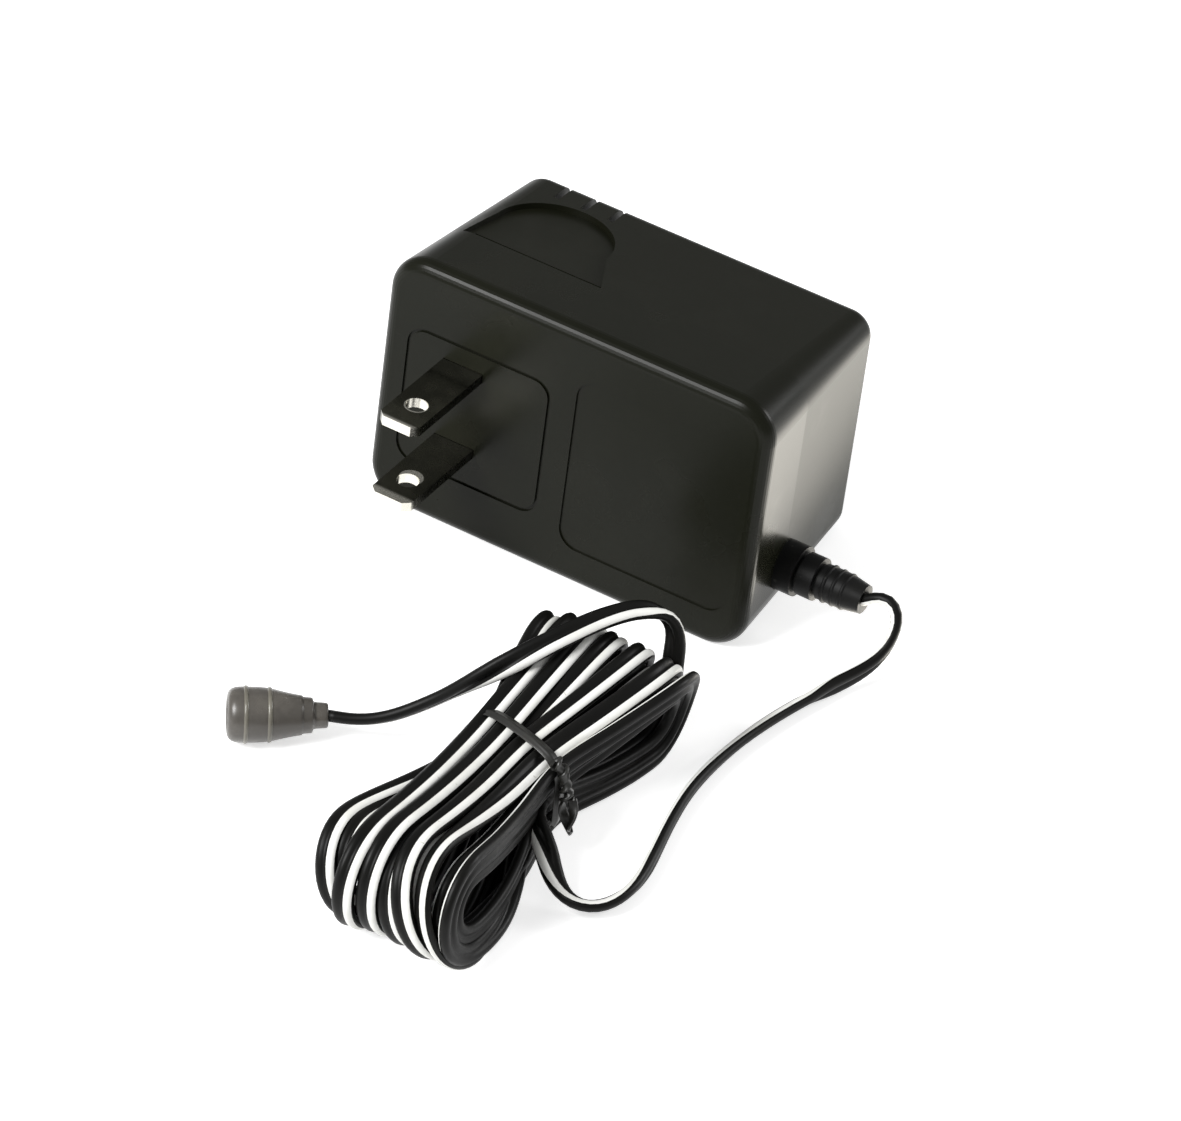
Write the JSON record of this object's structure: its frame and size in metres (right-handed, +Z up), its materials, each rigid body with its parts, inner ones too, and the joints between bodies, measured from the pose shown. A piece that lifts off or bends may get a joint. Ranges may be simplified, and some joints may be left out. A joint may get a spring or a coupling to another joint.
{
  "type": "plug-in mains adapter",
  "caption": "Plug-in mains adapter: dark two-part case with two flat blades, transformer inside, and a flat twin lead tied in a hank with a round inline socket at its end.",
  "frame": {"origin": "on the long lower side that the case lies on, under the middle of the rear cover's flat; the floor is z = 0", "axes": "+X along the case towards the side where the lead leaves, -Y the way the blades point, +Z up as the case lies on its side"},
  "size_m": [0.0803, 0.1182, 0.0411],
  "materials": {
    "cover_black": "moulded, semi-gloss",
    "blade_metal": "bright nickel plate",
    "inner_plastic": "matt",
    "core_steel": "varnished laminations",
    "winding_copper": "enamelled wire",
    "tape": "wound tape",
    "board": "laminate",
    "component": "moulded",
    "capacitor": "sleeved can",
    "wire_insulation": "soft plastic insulation",
    "fuse_body": "matt",
    "relief_rubber": "matt",
    "cord_black": "satin, a white stripe along one core",
    "tie_black": "satin",
    "connector_grey": "matt"
  },
  "bodies": {
    "root": {"front_cover": "cover_black", "rear_cover": "cover_black", "blade_upper": "blade_metal", "blade_lower": "blade_metal", "blade_retainer": "inner_plastic", "core_e_stack": "core_steel", "core_i_stack": "core_steel", "bobbin": "inner_plastic", "primary_winding": "winding_copper", "secondary_winding": "winding_copper", "primary_tape": "tape", "secondary_tape": "tape", "thermal_fuse": "fuse_body", "primary_pin_1": "blade_metal", "primary_pin_2": "blade_metal", "secondary_pin_1": "blade_metal", "secondary_pin_2": "blade_metal", "live_lead": "wire_insulation", "neutral_lead": "wire_insulation", "secondary_lead_1": "wire_insulation", "secondary_lead_2": "wire_insulation", "circuit_board": "board", "diode_1": "component", "diode_2": "component", "diode_3": "component", "diode_4": "component", "smoothing_capacitor": "capacitor", "output_lead_1": "wire_insulation", "output_lead_2": "wire_insulation", "strain_relief": "relief_rubber", "cord_lead": "cord_black", "cord_hank": "cord_black", "cord_tail": "cord_black", "cord_tie": "tie_black", "connector_body": "connector_grey", "contact_sleeve": "blade_metal", "pin_holder": "inner_plastic", "centre_pin": "blade_metal"}
  },
  "joints": []
}
